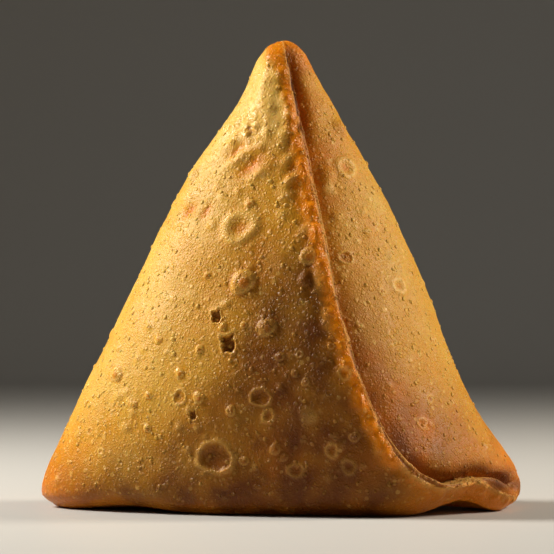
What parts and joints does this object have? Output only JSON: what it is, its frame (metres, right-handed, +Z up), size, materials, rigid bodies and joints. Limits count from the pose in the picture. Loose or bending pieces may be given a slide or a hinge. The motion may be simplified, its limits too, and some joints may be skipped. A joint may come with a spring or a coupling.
{
  "type": "samosa",
  "caption": "Fried triangular samosa standing on its base, with a lapped seam from tip to foot that turns into a wavy pinched lip at one corner.",
  "frame": {"origin": "on the table, under the middle of the part's box", "axes": "+Z up to the tip, +X to the corner with the pinched lip, -Y out of the panel with the seam"},
  "size_m": [0.0876, 0.0522, 0.086],
  "materials": {
    "crust": "golden fried wheat pastry with browned edges, small popped blisters and a thin film of oil"
  },
  "bodies": {
    "root": {"samosa": "crust"}
  },
  "joints": []
}
